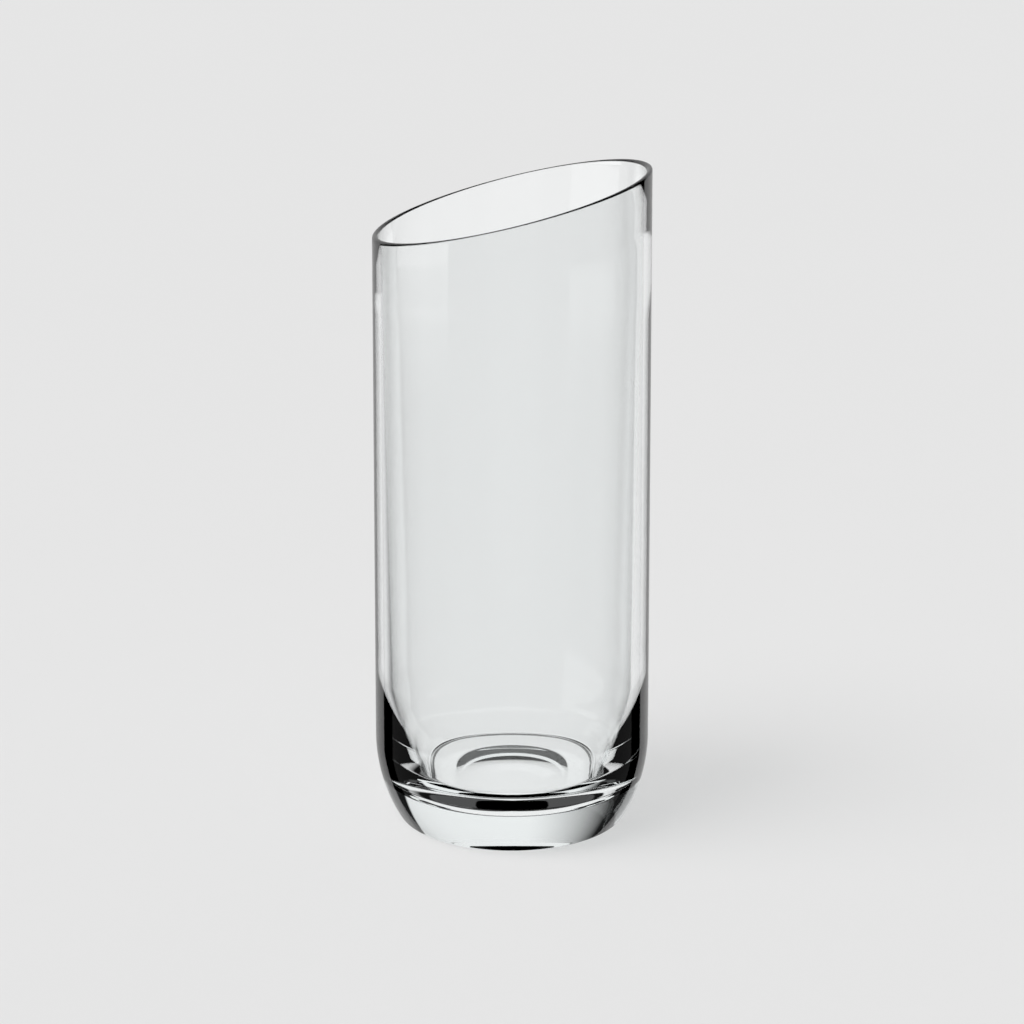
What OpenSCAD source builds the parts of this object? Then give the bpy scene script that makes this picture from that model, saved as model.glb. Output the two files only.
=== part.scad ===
// Highball glass: a straight tumbler of clear glass with a heavy base and a lip in a slanted plane.
// The glass stands on the table plane z = 0 with its axis on Z, and +X points to the high side of the lip.
// It is one piece of glass, drawn here as its four zones, which meet face to face.

/* [Body] */
// Outside diameter of the barrel
outside_d = 66; // [58:0.5:80]
// Height of the lip's plane above the table, on the axis
lip_h = 154.8; // [130:0.2:190]
// Thickness of the wall at the top of the barrel
wall_t = 2; // [1.6:0.1:3]

/* [Lip] */
// Slant of the lip's plane from level, in degrees
lip_slant = 15.8; // [0:0.1:20]
// Thickness of the rounded bead
lip_t = 1.4; // [1:0.1:1.6]
// Height of the zone that draws in from the wall to the bead
lip_zone_h = 14; // [8:0.5:20]

/* [Heel] */
// Height at which the bore starts to turn inwards
heel_h = 37; // [28:0.5:50]
// Thickness of the wall at that height, at the foot of the drafted bore
heel_t = 3.7; // [3:0.1:4.5]
// Radius of the arc by which the bore first turns inwards
shoulder_r = 92; // [50:1:130]
// Slope of the bore under that arc, in degrees from upright
heel_slope = 11.5; // [6:0.1:14]
// Height at which the bore turns inwards once more, at the waist
waist_h = 17.5; // [16:0.1:22]
// Radius of the waist's arc
waist_r = 7.5; // [2:0.5:12]
// Slope of the bore under the waist, in degrees from upright
waist_slope = 35.6; // [25:0.2:45]

/* [Base] */
// Height of the cavity's floor above the table
floor_h = 9.2; // [7:0.1:12]
// Radius of the corner between the floor and the bore
corner_r = 5.6; // [2:0.2:7]
// Height up to which the outside curves in to the foot
foot_h = 20; // [14:0.5:28]
// Diameter at which the foot's curve meets the table plane
foot_d = 54.8; // [53:0.2:57]
// Radius of the rounded bottom edge
edge_r = 1; // [0.4:0.1:1.5]

/* [Underside] */
// Diameter of the shallow hollow in the middle, the punt
punt_d = 30.5; // [20:0.5:44]
// Height of the punt's middle above the table
punt_h = 2.6; // [1:0.1:4]
// Inner diameter of the narrow ring that the glass stands on
ring_d = 49.6; // [46:0.2:51]
// Height of the flat face inside that ring above the table
ring_h = 0.1; // [0.1:0.1:0.5]

/* [Hidden] */

// Facets of a full circle in the preview mesh
$fn = 180;
// Overrun of every cut past the glass
cut_over = 1;
glass_colour = [0.80, 0.88, 0.86, 0.45];

// Barrel and lip
outside_r = outside_d / 2;
bore_r = outside_r - wall_t;
lip_rise = tan(lip_slant);
lip_seam_h = lip_h - lip_zone_h;
bead_r = lip_t / 2;
// The drafted bore ends level with the low side of the lip's seam
draft_top_h = lip_seam_h - outside_r * lip_rise;

// Shoulder arc of the bore, tangent to the drafted bore above it. It is tighter where the heel is too low for it:
// it may fill this share of the height between the top of the heel and the waist.
shoulder_room_share = 0.95;
heel_bore_r = outside_r - heel_t;
draft = atan((heel_t - wall_t) / (draft_top_h - heel_h));
shoulder_room = shoulder_room_share * (heel_h - waist_h);
shoulder_arc_r = min(shoulder_r, shoulder_room / (sin(heel_slope) - sin(draft)));
shoulder_at = [heel_bore_r - shoulder_arc_r * cos(draft), heel_h + shoulder_arc_r * sin(draft)];
shoulder_end = shoulder_at + shoulder_arc_r * [cos(heel_slope), -sin(heel_slope)];

// Waist arc, tangent to the straight slopes above and below it
waist_start = [shoulder_end[0] - (shoulder_end[1] - waist_h) * tan(heel_slope), waist_h];
waist_at = waist_start - waist_r * [cos(heel_slope), -sin(heel_slope)];
waist_end = waist_at + waist_r * [cos(waist_slope), -sin(waist_slope)];

// Corner arc, tangent to the slope under the waist and to the floor, with its centre level with the base's seam
seam_h = floor_h + corner_r;
slope_r = waist_end[0] - (waist_end[1] - seam_h) * tan(waist_slope);
corner_at = [slope_r - corner_r / cos(waist_slope), seam_h];
corner_start = corner_at + corner_r * [cos(waist_slope), -sin(waist_slope)];

// Foot: one arc, tangent to the barrel at foot_h, that ends in the rounded bottom edge
foot_in = outside_r - foot_d / 2;
foot_arc_r = (foot_h * foot_h + foot_in * foot_in) / (2 * foot_in);
foot_at = [outside_r - foot_arc_r, foot_h];
edge_at = [foot_at[0] + sqrt(pow(foot_arc_r - edge_r, 2) - pow(foot_h - edge_r, 2)), edge_r];
edge_start = foot_at + foot_arc_r * (edge_at - foot_at) / norm(edge_at - foot_at);

// Punt: a shallow spherical hollow in the flat face
punt_r = punt_d / 2;
punt_in = punt_h - ring_h;
punt_arc_r = (punt_r * punt_r + punt_in * punt_in) / (2 * punt_in);

// Half section of the outside, from the table up to height h
module outside_section(h) {
    difference() {
        intersection() {
            square([outside_r, h]);
            union() {
                translate(foot_at) circle(r = foot_arc_r);
                translate([0, foot_h]) square([outside_r, h]);
            }
        }
        polygon([
            [edge_at[0], -cut_over],
            edge_at,
            edge_start,
            [outside_r + cut_over, edge_start[1]],
            [outside_r + cut_over, -cut_over]
        ]);
    }
    translate(edge_at) circle(r = edge_r);
}

// The part of a circle outwards of the chord between a low and a high point of it
module bulge(centre, radius, low, high) {
    intersection() {
        translate(centre) circle(r = radius);
        polygon([low, [outside_r, low[1]], [outside_r, high[1]], high]);
    }
}

// Half section of the cavity, from its floor up to height h
module cavity_section(h) {
    polygon([
        [0, floor_h],
        [corner_at[0], floor_h],
        corner_start,
        waist_end,
        waist_start,
        shoulder_end,
        [heel_bore_r, heel_h],
        [heel_bore_r, h],
        [0, h]
    ]);
    translate(corner_at) circle(r = corner_r);
    bulge(waist_at, waist_r, waist_end, waist_start);
    bulge(shoulder_at, shoulder_arc_r, shoulder_end, [heel_bore_r, heel_h]);
}

// Half section of the hollow underneath: the flat face inside the ring, and the punt in it
module underside_section() {
    translate([0, -cut_over]) square([ring_d / 2, ring_h + cut_over]);
    intersection() {
        translate([0, punt_h - punt_arc_r]) circle(r = punt_arc_r);
        square([punt_r, punt_h]);
    }
}

// The fire-polished bead and the zone that draws in to it, sheared up to the slanted plane
module lip() {
    color(glass_colour)
    multmatrix([[1, 0, 0, 0], [0, 1, 0, 0], [lip_rise, 0, 1, lip_seam_h]])
    rotate_extrude() {
        polygon([
            [bore_r, 0],
            [outside_r, 0],
            [outside_r, lip_zone_h - bead_r],
            [outside_r - lip_t, lip_zone_h - bead_r]
        ]);
        translate([outside_r - bead_r, lip_zone_h - bead_r]) circle(r = bead_r);
    }
}

// The barrel: a true cylinder outside, with a drafted bore, cut off in the lip's slanted plane
module wall() {
    color(glass_colour)
    difference() {
        rotate_extrude()
        polygon([
            [heel_bore_r, heel_h],
            [outside_r, heel_h],
            [outside_r, lip_h],
            [bore_r, lip_h],
            [bore_r, draft_top_h]
        ]);
        translate([0, 0, lip_seam_h])
        rotate([0, -lip_slant, 0])
        translate([-outside_d, -outside_d, 0])
        cube([2 * outside_d, 2 * outside_d, lip_h]);
    }
}

// The thick ring in which the bore narrows over its shoulder and waist towards the floor
module heel() {
    color(glass_colour)
    rotate_extrude()
    difference() {
        intersection() {
            outside_section(heel_h);
            translate([0, seam_h]) square([outside_r, heel_h]);
        }
        cavity_section(heel_h + cut_over);
    }
}

// The solid bottom: the cavity's floor and corner above, the punt and the ring it stands on below
module base() {
    color(glass_colour)
    rotate_extrude()
    difference() {
        intersection() {
            outside_section(heel_h);
            square([outside_r, seam_h]);
        }
        cavity_section(heel_h);
        underside_section();
    }
}

lip();
wall();
heel();
base();
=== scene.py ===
"""Highball glass: the looks of a straight tumbler of clear glass with a heavy base and a slanted lip.

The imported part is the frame. The glass's sizes are in millimetres, as its maker writes them, and become
metres where its mesh is made. +X points to the high side of the lip, and the glass stands on the plane z = 0.
"""

import math

import bpy
import numpy as np
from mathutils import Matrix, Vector


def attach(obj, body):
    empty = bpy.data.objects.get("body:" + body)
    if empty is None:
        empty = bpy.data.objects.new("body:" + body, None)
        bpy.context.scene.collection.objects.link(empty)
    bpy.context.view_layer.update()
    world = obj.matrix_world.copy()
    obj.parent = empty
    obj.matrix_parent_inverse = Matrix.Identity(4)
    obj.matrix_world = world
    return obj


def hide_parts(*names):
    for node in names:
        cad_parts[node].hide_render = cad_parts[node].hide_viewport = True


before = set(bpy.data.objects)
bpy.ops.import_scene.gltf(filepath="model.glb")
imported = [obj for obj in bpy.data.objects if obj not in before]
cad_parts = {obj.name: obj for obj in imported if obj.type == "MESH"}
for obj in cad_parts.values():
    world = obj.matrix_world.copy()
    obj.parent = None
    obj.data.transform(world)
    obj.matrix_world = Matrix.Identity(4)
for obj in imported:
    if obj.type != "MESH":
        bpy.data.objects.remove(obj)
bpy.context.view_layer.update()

# Camera: it looks down at the middle of the glass from the photograph's angle, from the left of the lip's
# high side. The lens is long, so the sides of the barrel stay nearly upright in the square frame.
CAMERA_TURN = 25.6
CAMERA_HEIGHT = 20.55
CAMERA_DISTANCE = 1.5109
CAMERA_AIM = Vector((0, 0, 0.0767))
CAMERA_LENS = 221.9
SENSOR_WIDTH = 36


def direction(turn, height):
    """The unit vector at those degrees to the right of the front, which is -Y, and over the level."""
    turn = math.radians(turn)
    height = math.radians(height)
    level = math.cos(height)
    return Vector((math.sin(turn) * level, -math.cos(turn) * level, math.sin(height)))


def facing(way):
    """The turn of a camera or lamp that looks that way, with its top up."""
    return way.to_track_quat("-Z", "Y").to_euler()


def put_in_scene(name, data):
    """A new object of that name in the scene, at the origin and unturned."""
    thing = bpy.data.objects.new(name, data)
    bpy.context.scene.collection.objects.link(thing)
    return thing


towards_camera = direction(CAMERA_TURN, CAMERA_HEIGHT)
camera = put_in_scene("camera", bpy.data.cameras.new("camera"))
camera.data.lens = CAMERA_LENS
camera.data.sensor_width = SENSOR_WIDTH
camera.location = CAMERA_AIM + CAMERA_DISTANCE * towards_camera
camera.rotation_euler = facing(-towards_camera)
bpy.context.scene.camera = camera
bpy.context.scene.view_settings.view_transform = "Standard"


# Floor: the plain pale table of the studio, painted matt with a faint mottle, which carries the soft shadow
# of the glass. It is hidden from rays in the glass, which see the room in that direction instead.
FLOOR_SIZE = 24
FLOOR_DROP = 0.00002
FLOOR_COLOUR = 0.8
MOTTLE = 0.012
MOTTLE_SCALE = 9
NOISE_MIDDLE = 0.5


class Socket:
    """What a node gives out. Sums, differences and products with it add Math nodes."""

    def __init__(self, tree, socket):
        self.tree = tree
        self.socket = socket

    def math(self, operation, *others):
        return self.tree.node("ShaderNodeMath", [self, *others], operation=operation)

    def __add__(self, other):
        return self.math("ADD", other)

    def __sub__(self, other):
        return self.math("SUBTRACT", other)

    def __rsub__(self, other):
        return self.tree.node("ShaderNodeMath", [other, self], operation="SUBTRACT")

    def __mul__(self, other):
        return self.math("MULTIPLY", other)

    __radd__ = __add__
    __rmul__ = __mul__

    def clipped(self):
        """Itself, kept between 0 and 1."""
        return self.math("MAXIMUM", 0).math("MINIMUM", 1)

    def above(self, level, blur):
        """0 below the level and 1 above it, with a straight ramp as wide as blur about the level."""
        return ((self - (level - blur / 2)) * (1 / blur)).clipped()

    def below(self, level, blur):
        """1 below the level and 0 above it, with the same ramp."""
        return 1 - self.above(level, blur)


class Tree:
    """The nodes of one material or world, which start empty."""

    def __init__(self, owner):
        owner.use_nodes = True
        self.nodes = owner.node_tree.nodes
        self.links = owner.node_tree.links
        self.nodes.clear()

    def node(self, kind, inputs=(), output=0, **settings):
        """Adds a node, makes its settings, fills its sockets by place or name, and gives out one socket."""
        made = self.nodes.new(kind)
        for name, value in settings.items():
            setattr(made, name, value)
        for socket, value in inputs.items() if isinstance(inputs, dict) else enumerate(inputs):
            if isinstance(value, Socket):
                self.links.new(value.socket, made.inputs[socket])
            else:
                made.inputs[socket].default_value = value
        return Socket(self, made.outputs[output]) if made.outputs else None

    def ray(self, fact):
        """What is known of the ray that looks, such as whether it comes from the camera."""
        return self.node("ShaderNodeLightPath", output=fact)


def new_piece(name, vertices, faces, material):
    """A piece of those vertices and faces in one material, with its place in its mesh."""
    mesh = bpy.data.meshes.new(name)
    mesh.from_pydata(vertices, [], faces)
    mesh.materials.append(material)
    return put_in_scene(name, mesh)


table_paint = bpy.data.materials.new("pale_table")
tree = Tree(table_paint)
place = tree.node("ShaderNodeTexCoord", output="Object")
mottle = tree.node("ShaderNodeTexNoise", {"Vector": place, "Scale": MOTTLE_SCALE, "Detail": 3})
shade = (mottle - NOISE_MIDDLE) * MOTTLE + FLOOR_COLOUR
matt = {"Base Color": shade, "Roughness": 1, "Specular IOR Level": 0}
paint = tree.node("ShaderNodeBsdfPrincipled", matt)
tree.node("ShaderNodeOutputMaterial", {"Surface": paint})

far = FLOOR_SIZE / 2
floor_outline = [(-far, -far), (far, -far), (far, far), (-far, far)]
floor_corners = [(x, y, -FLOOR_DROP) for x, y in floor_outline]
floor = new_piece("floor", floor_corners, [(0, 1, 2, 3)], table_paint)
floor.visible_glossy = False
floor.visible_transmission = False


# Studio light: a soft lamp high on the left, and a pale room. Rays in the glass see the room by direction:
# a bright backdrop that fades to its left edge, a dark gap on either side, a gray room and one softbox.
# Directions are in degrees. A bearing counts to the right from the way that the camera looks.
ROOM_LIGHT = 0.12
BACKDROP = 0.783
BACKDROP_IN_GLASS = 0.96
BACKDROP_RIGHT = 49.5
BACKDROP_TOP = 38
FADE_START = -43.5
FADE_END = -5
FADE_POWER = 1.4
LOW_TOP = -8
LOW_TOP_BLUR = 10
LOW_LEFT = -42
LOW_LEFT_BLUR = 14
MIRRORED_PANEL = 0.53
MIRRORED_PANEL_EDGE = 41
GRAY_ROOM = 0.09
GRAY_START = 58.5
GRAY_END = 105
SOFTBOX_IN_GLASS = 0.7
SOFTBOX_MIRRORED = 1.3
SOFTBOX_LEFT = -126
SOFTBOX_RIGHT = -71
SOFTBOX_LOW = -18.6
SOFTBOX_TOP = 15
EDGE_BLUR = 2
AROUND_START = 78
AROUND_BLUR = 10
NEAR_START = 63
NEAR_TOP = -16
TABLE_TOP = -38
PALE_BLUR = 4
SURFACES_OF_ONE_WALL = 2
LAMP_TURN = -67
LAMP_HEIGHT = 64
LAMP_SIZE = 30
LAMP_STRENGTH = 3.02

room = bpy.data.worlds.new("room")
bpy.context.scene.world = room
tree = Tree(room)
looking = tree.node("ShaderNodeTexCoord", output="Generated")
unturned = (0, 0, -math.radians(CAMERA_TURN))
looking = tree.node("ShaderNodeMapping", {"Vector": looking, "Rotation": unturned})
right, away, up = [tree.node("ShaderNodeSeparateXYZ", [looking], output=axis) for axis in "XYZ"]
bearing = right.math("ARCTAN2", away) * math.degrees(1)
height = up.math("ARCSINE") * math.degrees(1)
sideways = bearing.math("ABSOLUTE")

# The backdrop fades as a power of the way to its left edge, and below the horizon it ends in one soft step
over_top = height.above(BACKDROP_TOP, EDGE_BLUR)
fade_way = ((FADE_END - bearing) * (1 / (FADE_END - FADE_START))).clipped()
low_share = height.below(LOW_TOP, LOW_TOP_BLUR)
low_faded = bearing.below(LOW_LEFT, LOW_LEFT_BLUR)
faded = fade_way.math("POWER", FADE_POWER) * (1 - low_share) + low_faded * low_share
backdrop = (1 - faded) * bearing.below(BACKDROP_RIGHT, EDGE_BLUR) * (1 - over_top)

# The dimmer panel that the outside mirrors, the gray room beyond the gaps and overhead, and the softbox
panel = sideways.below(MIRRORED_PANEL_EDGE, EDGE_BLUR) * (1 - over_top)
gray_sides = sideways.above(GRAY_START, EDGE_BLUR) * sideways.below(GRAY_END, EDGE_BLUR)
gray = gray_sides.math("MAXIMUM", over_top)
softbox_width = bearing.above(SOFTBOX_LEFT, EDGE_BLUR) * bearing.below(SOFTBOX_RIGHT, EDGE_BLUR)
softbox_rise = height.above(SOFTBOX_LOW, EDGE_BLUR) * height.below(SOFTBOX_TOP, EDGE_BLUR)
softbox = softbox_width * softbox_rise

# Rays that nothing has mirrored see a pale room on the other sides too, so that the glass is clear from
# there. It comes nearer to the backdrop for rays that are low, or that have been through both walls.
straight_ray = 1 - tree.ray("Glossy Depth").math("MINIMUM", 1)
both_walls = tree.ray("Transmission Depth").math("GREATER_THAN", SURFACES_OF_ONE_WALL)
near_share = both_walls.math("MAXIMUM", height.below(NEAR_TOP, PALE_BLUR))
near = sideways.above(NEAR_START, PALE_BLUR) * near_share
around = sideways.above(AROUND_START, AROUND_BLUR).math("MAXIMUM", near)
around = around.math("MAXIMUM", height.below(TABLE_TOP, PALE_BLUR))
pale = backdrop.math("MAXIMUM", around * straight_ray)

# The camera sees the plain backdrop, the floor gets a dim even light, and rays in the glass see the room
camera_ray = tree.ray("Is Camera Ray")
glass_ray = tree.ray("Is Transmission Ray")
in_glass = tree.ray("Is Glossy Ray").math("MAXIMUM", glass_ray) * (1 - camera_ray)
through_glass = pale * BACKDROP_IN_GLASS + gray * GRAY_ROOM + softbox * SOFTBOX_IN_GLASS
mirrored = panel * MIRRORED_PANEL + gray * GRAY_ROOM + softbox * SOFTBOX_MIRRORED
seen_in_glass = through_glass * glass_ray + mirrored * (1 - glass_ray)
seen_outside = camera_ray * BACKDROP + (1 - camera_ray) * ROOM_LIGHT
strength = in_glass * seen_in_glass + (1 - in_glass) * seen_outside
glow = tree.node("ShaderNodeBackground", {"Color": (1, 1, 1, 1), "Strength": strength})
tree.node("ShaderNodeOutputWorld", {"Surface": glow})

lamp = put_in_scene("key_lamp", bpy.data.lights.new("key_lamp", "SUN"))
lamp.data.energy = LAMP_STRENGTH
lamp.data.angle = math.radians(LAMP_SIZE)
lamp.rotation_euler = facing(-direction(CAMERA_TURN + LAMP_TURN, LAMP_HEIGHT))
lamp.visible_glossy = False
lamp.visible_transmission = False


# Tumbler: one continuous body of clear glass, formed in a mould, cut on a slant and fire-polished at the lip.
# It stands for the part's four zones, so that no inner face shows in the clear glass. Its half section is a
# closed line of (radius, height) points from the middle of the underside to the middle of the cavity's floor.
MM = 0.001
OUTSIDE_R = 33
LIP_H = 154.8
WALL_T = 2
LIP_SLANT = 15.8
LIP_T = 1.4
LIP_ZONE_H = 14
SLANT_START_H = 44.4
HEEL_H = 37
HEEL_T = 3.7
SHOULDER_R = 92
HEEL_SLOPE = 11.5
WAIST_H = 17.5
WAIST_R = 7.5
WAIST_SLOPE = 35.6
FLOOR_H = 9.2
CORNER_R = 5.6
FOOT_H = 20
FOOT_R = 27.4
EDGE_R = 1
PUNT_R = 15.25
PUNT_H = 2.6
RING_R = 24.8
RING_H = 0.1
COLUMNS = 288
IOR = 1.608
TINT = (0.5, 0.97, 0.97, 1)
TINT_DENSITY = 1
SURFACE_RED = 0.99
CLEAR_SPREAD = 0.01
SHADOW_TINT = (0.93, 0.93, 0.93, 1)
DRAW_MARKS = (70, 70, 7)
WAVE_DEPTH = 0.00001

lip_rise = math.tan(math.radians(LIP_SLANT))
lip_seam_h = LIP_H - LIP_ZONE_H
bead_r = LIP_T / 2
bead_h = LIP_H - bead_r
bore_r = OUTSIDE_R - WALL_T
heel_bore_r = OUTSIDE_R - HEEL_T
draft_top_h = lip_seam_h - OUTSIDE_R * lip_rise
draft = math.atan((HEEL_T - WALL_T) / (draft_top_h - HEEL_H))
heel_slope = math.radians(HEEL_SLOPE)
waist_slope = math.radians(WAIST_SLOPE)


def polar(centre, radius, angle):
    """The centre, moved by the radius towards each angle in radians."""
    return np.array(centre) + radius * np.stack([np.cos(angle), np.sin(angle)], -1)


def arc(centre, radius, start, end, rows):
    """Points of a circle, evenly from the start angle to the end angle in radians, with the end left out."""
    return polar(centre, radius, np.linspace(start, end, rows, endpoint=False))


def line(start, end, rows):
    """Points evenly from start to end in a straight line, with the end left out."""
    share = np.linspace(0, 1, rows, endpoint=False)[:, None]
    return np.array(start) * (1 - share) + np.array(end) * share


# Underside: the spherical punt, the flat face inside the ring, the ring, its rounded edge and the foot's arc
punt_in = PUNT_H - RING_H
punt_arc_r = (PUNT_R**2 + punt_in**2) / (2 * punt_in)
foot_in = OUTSIDE_R - FOOT_R
foot_arc_r = (FOOT_H**2 + foot_in**2) / (2 * foot_in)
foot_at = (OUTSIDE_R - foot_arc_r, FOOT_H)
edge_at = (foot_at[0] + math.sqrt((foot_arc_r - EDGE_R) ** 2 - (FOOT_H - EDGE_R) ** 2), EDGE_R)
edge_end = math.atan2(edge_at[1] - foot_at[1], edge_at[0] - foot_at[0])
underside = [
    arc((0, PUNT_H - punt_arc_r), punt_arc_r, math.pi / 2, math.acos(PUNT_R / punt_arc_r), rows=30),
    line((PUNT_R, RING_H), (RING_R, RING_H), rows=8),
    line((RING_R, RING_H), (RING_R, 0), rows=1),
    line((RING_R, 0), (edge_at[0], 0), rows=6),
    arc(edge_at, EDGE_R, -math.pi / 2, edge_end, rows=10),
    arc(foot_at, foot_arc_r, edge_end, 0, rows=40),
]

# Barrel and lip: straight outside, round over the bead, and inside a cone to the wall and the drafted bore
barrel = [
    line((OUTSIDE_R, FOOT_H), (OUTSIDE_R, bead_h), rows=24),
    arc((OUTSIDE_R - bead_r, bead_h), bead_r, 0, math.pi, rows=20),
    line((OUTSIDE_R - LIP_T, bead_h), (bore_r, lip_seam_h), rows=20),
    line((bore_r, lip_seam_h), (heel_bore_r, HEEL_H), rows=40),
]

# Bowl: the bore turns inwards over the shoulder's arc, more over the waist's arc, and round the corner
shoulder_at = (heel_bore_r - SHOULDER_R * math.cos(draft), HEEL_H + SHOULDER_R * math.sin(draft))
shoulder_end = polar(shoulder_at, SHOULDER_R, -heel_slope)
waist_start = (shoulder_end[0] - (shoulder_end[1] - WAIST_H) * math.tan(heel_slope), WAIST_H)
waist_at = polar(waist_start, -WAIST_R, -heel_slope)
waist_end = polar(waist_at, WAIST_R, -waist_slope)
seam_h = FLOOR_H + CORNER_R
seam_bore_r = waist_end[0] - (waist_end[1] - seam_h) * math.tan(waist_slope)
corner_at = (seam_bore_r - CORNER_R / math.cos(waist_slope), seam_h)
bowl = [
    arc(shoulder_at, SHOULDER_R, -draft, -heel_slope, rows=32),
    line(shoulder_end, waist_start, rows=5),
    arc(waist_at, WAIST_R, -heel_slope, -waist_slope, rows=16),
    line(waist_end, polar(corner_at, CORNER_R, -waist_slope), rows=5),
    arc(corner_at, CORNER_R, -waist_slope, -math.pi / 2, rows=30),
    line((corner_at[0], FLOOR_H), (0, FLOOR_H), rows=10),
    [(0, FLOOR_H)],
]


def revolved(section):
    """The section turned about Z in rings, with each point lifted by its share of the slant times its x.

    The share is 0 up to the slant's start and 1 from the lip's zone up. Between them it is the smooth step
    3 s^2 - 2 s^3 of the way s. There the bore's radius follows the draft at the height after the lift.
    """
    radius, level = section[:, :1], section[:, 1:]
    angle = np.linspace(0, 2 * np.pi, COLUMNS, endpoint=False)
    way = np.clip((level - SLANT_START_H) / (lip_seam_h - SLANT_START_H), 0, 1)
    share = way**2 * (3 - 2 * way)
    height = level + lip_rise * share * radius * np.cos(angle)
    drafted = np.minimum(bore_r, heel_bore_r + (height - HEEL_H) * math.tan(draft))
    in_bore = (radius < OUTSIDE_R - LIP_T) & (share > 0) & (share < 1)
    radius = np.where(in_bore, drafted, radius)
    return np.stack([radius * np.cos(angle), radius * np.sin(angle), height], -1) * MM


def closed_surface(rings):
    """The vertices and faces of a surface closed round its rings, which face outwards.

    Each ring but the first and the last meets the next in quads. Those two have no radius, so each is one
    pole, and a fan of triangles joins it to its neighbour.
    """
    between = rings[1:-1]
    vertices = np.concatenate([rings[0, :1], between.reshape(-1, 3), rings[-1, :1]])
    corner = np.arange(1, len(vertices) - 1).reshape(between.shape[:2])
    following = np.roll(corner, -1, 1)
    last = np.full_like(corner[-1], len(vertices) - 1)
    quads = np.stack([corner[:-1], following[:-1], following[1:], corner[1:]], -1).reshape(-1, 4)
    low_fan = np.stack([np.zeros_like(last), following[0], corner[0]], -1)
    high_fan = np.stack([corner[-1], following[-1], last], -1)
    return vertices, quads.tolist() + low_fan.tolist() + high_fan.tolist()


# Clear glass: faint upright draw marks make it slightly less clear and bend its surface a little. Both the
# surface and the body are a touch green-blue, and the shadow through it is pale.
glass = bpy.data.materials.new("clear_glass")
tree = Tree(glass)
place = tree.node("ShaderNodeTexCoord", output="Object")
drawn = tree.node("ShaderNodeMapping", {"Vector": place, "Scale": DRAW_MARKS})
marks = tree.node("ShaderNodeTexNoise", {"Vector": drawn, "Scale": 1, "Detail": 1})
waves = tree.node("ShaderNodeBump", {"Height": marks, "Strength": 1, "Distance": WAVE_DEPTH})
clear = marks * CLEAR_SPREAD + (1 - CLEAR_SPREAD)
surface_colour = tree.node("ShaderNodeCombineColor", [clear * SURFACE_RED, clear, clear])
polished = {"Base Color": surface_colour, "Roughness": 0, "Normal": waves}
body = tree.node("ShaderNodeBsdfPrincipled", {**polished, "IOR": IOR, "Transmission Weight": 1})
lets_light = tree.node("ShaderNodeBsdfTransparent", {"Color": SHADOW_TINT})
surface = tree.node("ShaderNodeMixShader", [tree.ray("Is Shadow Ray"), body, lets_light])
tint = tree.node("ShaderNodeVolumeAbsorption", {"Color": TINT, "Density": TINT_DENSITY})
tree.node("ShaderNodeOutputMaterial", {"Surface": surface, "Volume": tint})

section = np.concatenate(underside + barrel + bowl)
tumbler = new_piece("tumbler", *closed_surface(revolved(section)), glass)
tumbler.data.shade_smooth()
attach(tumbler, "root")
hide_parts("lip", "wall", "heel", "base")
